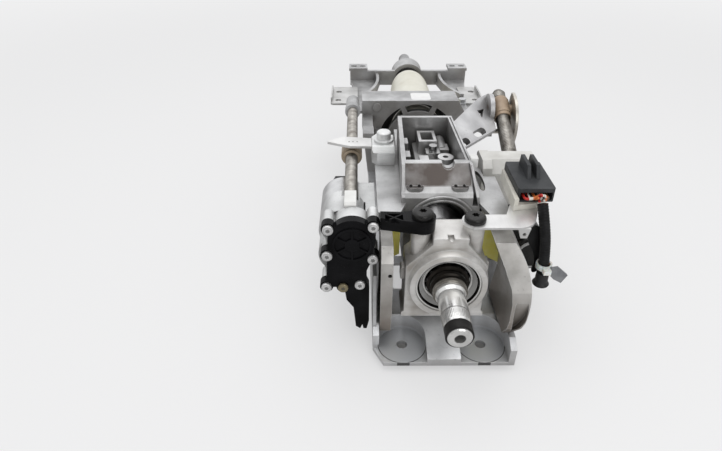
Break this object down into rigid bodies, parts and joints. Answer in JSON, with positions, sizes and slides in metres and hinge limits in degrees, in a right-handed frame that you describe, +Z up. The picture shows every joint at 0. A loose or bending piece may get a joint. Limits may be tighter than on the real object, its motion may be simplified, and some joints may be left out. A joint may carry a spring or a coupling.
{
  "type": "steering column",
  "caption": "Car steering column with motor-driven tilt and reach, ball-bearing upper shaft, universal joint, steering lock and mounting console.",
  "frame": {"origin": "midway between the two front console bolts, on the underside of the mounting spacers", "axes": "+X to the driver's right, +Y away from the driver along the column, +Z up from the mounting surface"},
  "size_m": [0.212, 0.5759, 0.163],
  "materials": {
    "cast_aluminium": "as-cast satin",
    "machined_aluminium": "turned",
    "bright_steel": "bright zinc",
    "tube_steel": "ground",
    "dark_steel": "oiled black",
    "gear_housing": "satin",
    "black_plastic": "fine grain",
    "cream_plastic": "fine grain",
    "white_plastic": "smooth",
    "beige_plastic": "smooth",
    "guide_plastic": "smooth",
    "grey_plastic": "smooth",
    "black_rubber": "dull",
    "motor_can": "satin black",
    "wire_insulation": "smooth"
  },
  "bodies": {
    "console": {"console_base": "cast_aluminium", "mount_spacers": "machined_aluminium", "cheek_left": "cast_aluminium", "cheek_right": "cast_aluminium", "pivot_frame": "cast_aluminium", "pivot_pins": "tube_steel", "rear_bracket": "cast_aluminium", "frame_bolts": "bright_steel", "side_tabs": "bright_steel", "boot": "cream_plastic", "gaiter": "black_rubber", "boot_seals": "black_rubber", "tilt_motor": "motor_can", "tilt_gearbox": "white_plastic"},
    "jacket": {"jacket": "cast_aluminium", "guide_liners": "dark_steel", "slide_guides": "guide_plastic", "lock_carrier": "gear_housing", "nut_clamp": "bright_steel", "clamp_bolt": "bright_steel", "nut_plate": "bright_steel", "reach_nut": "beige_plastic", "tilt_fork": "cast_aluminium", "fork_plate": "bright_steel", "lower_bearing": "tube_steel"},
    "head": {"head_casting": "cast_aluminium", "inner_tube": "tube_steel", "bearing_outer_ring": "bright_steel", "bearing_balls": "bright_steel", "tube_bush": "black_plastic", "drive_housing": "gear_housing", "drive_cover": "black_plastic", "cover_screws": "bright_steel", "drive_tail": "black_plastic", "mount_arm": "black_plastic", "head_screws": "dark_steel", "gear_case": "gear_housing", "spindle_block": "white_plastic", "reach_motor": "motor_can", "motor_cap": "black_plastic", "strap_bracket": "bright_steel", "connector_holder": "cream_plastic", "connector": "black_plastic", "connector_wires": "wire_insulation", "harness_sleeve": "black_rubber", "harness_plug": "black_plastic", "cable_tie": "white_plastic", "harness_tab": "grey_plastic"},
    "steering_shaft": {"upper_shaft": "machined_aluminium", "shaft_band": "black_rubber", "bearing_inner_ring": "dark_steel"},
    "reach_screw": {"reach_spindle": "tube_steel", "spindle_sleeve": "grey_plastic"},
    "tilt_screw": {"tilt_spindle": "tube_steel"},
    "tilt_nut_body": {"tilt_nut": "beige_plastic"},
    "lower_steering_shaft": {"lower_shaft": "tube_steel"},
    "output_steering_shaft": {"output_shaft": "tube_steel"},
    "lock_bolt_body": {"lock_bolt": "tube_steel"}
  },
  "joints": [
    {"name": "tilt", "type": "hinge", "parent": "console", "child": "jacket", "pos_m": [0, 0.244, 0.08], "axis": [1, 0, 0], "range_deg": [-2.5, 2.5]},
    {"name": "reach", "type": "slide", "parent": "jacket", "child": "head", "axis": [0, 1, 0], "range_m": [-0.028, 0.028]},
    {"name": "wheel_spin", "type": "hinge", "parent": "head", "child": "steering_shaft", "pos_m": [0, 0, 0.08], "axis": [0, 1, 0], "continuous": true},
    {"name": "lock_drop", "type": "slide", "parent": "jacket", "child": "lock_bolt_body", "axis": [0, 0, -1], "range_m": [0, 0.0055]},
    {"name": "lower_spin", "type": "hinge", "parent": "jacket", "child": "lower_steering_shaft", "pos_m": [0, 0.2, 0.08], "axis": [0, 1, 0], "continuous": true},
    {"name": "output_spin", "type": "hinge", "parent": "console", "child": "output_steering_shaft", "pos_m": [0, 0.244, 0.08], "axis": [0, 0.9925, 0.1219], "continuous": true},
    {"name": "reach_screw_spin", "type": "hinge", "parent": "head", "child": "reach_screw", "pos_m": [-0.08, 0.1, 0.122], "axis": [0, 1, 0], "range_deg": [-1685, 1685]},
    {"name": "tilt_screw_spin", "type": "hinge", "parent": "console", "child": "tilt_screw", "pos_m": [0.082, 0.21322, 0.146], "axis": [0, 0.9063, 0.4226], "range_deg": [-290, 290]},
    {"name": "tilt_nut_swing", "type": "hinge", "parent": "jacket", "child": "tilt_nut_body", "pos_m": [0.082, 0.21322, 0.146], "axis": [1, 0, 0], "range_deg": [-2.6, 2.6]}
  ],
  "couplings": [
    {"joint": "lower_spin", "follows": "wheel_spin", "ratio": 1},
    {"joint": "output_spin", "follows": "wheel_spin", "ratio": 1},
    {"joint": "reach_screw_spin", "follows": "reach", "rad_per_m": 1047.2},
    {"joint": "tilt_screw_spin", "follows": "tilt", "ratio": 114.39},
    {"joint": "tilt_nut_swing", "follows": "tilt", "ratio": -1}
  ]
}
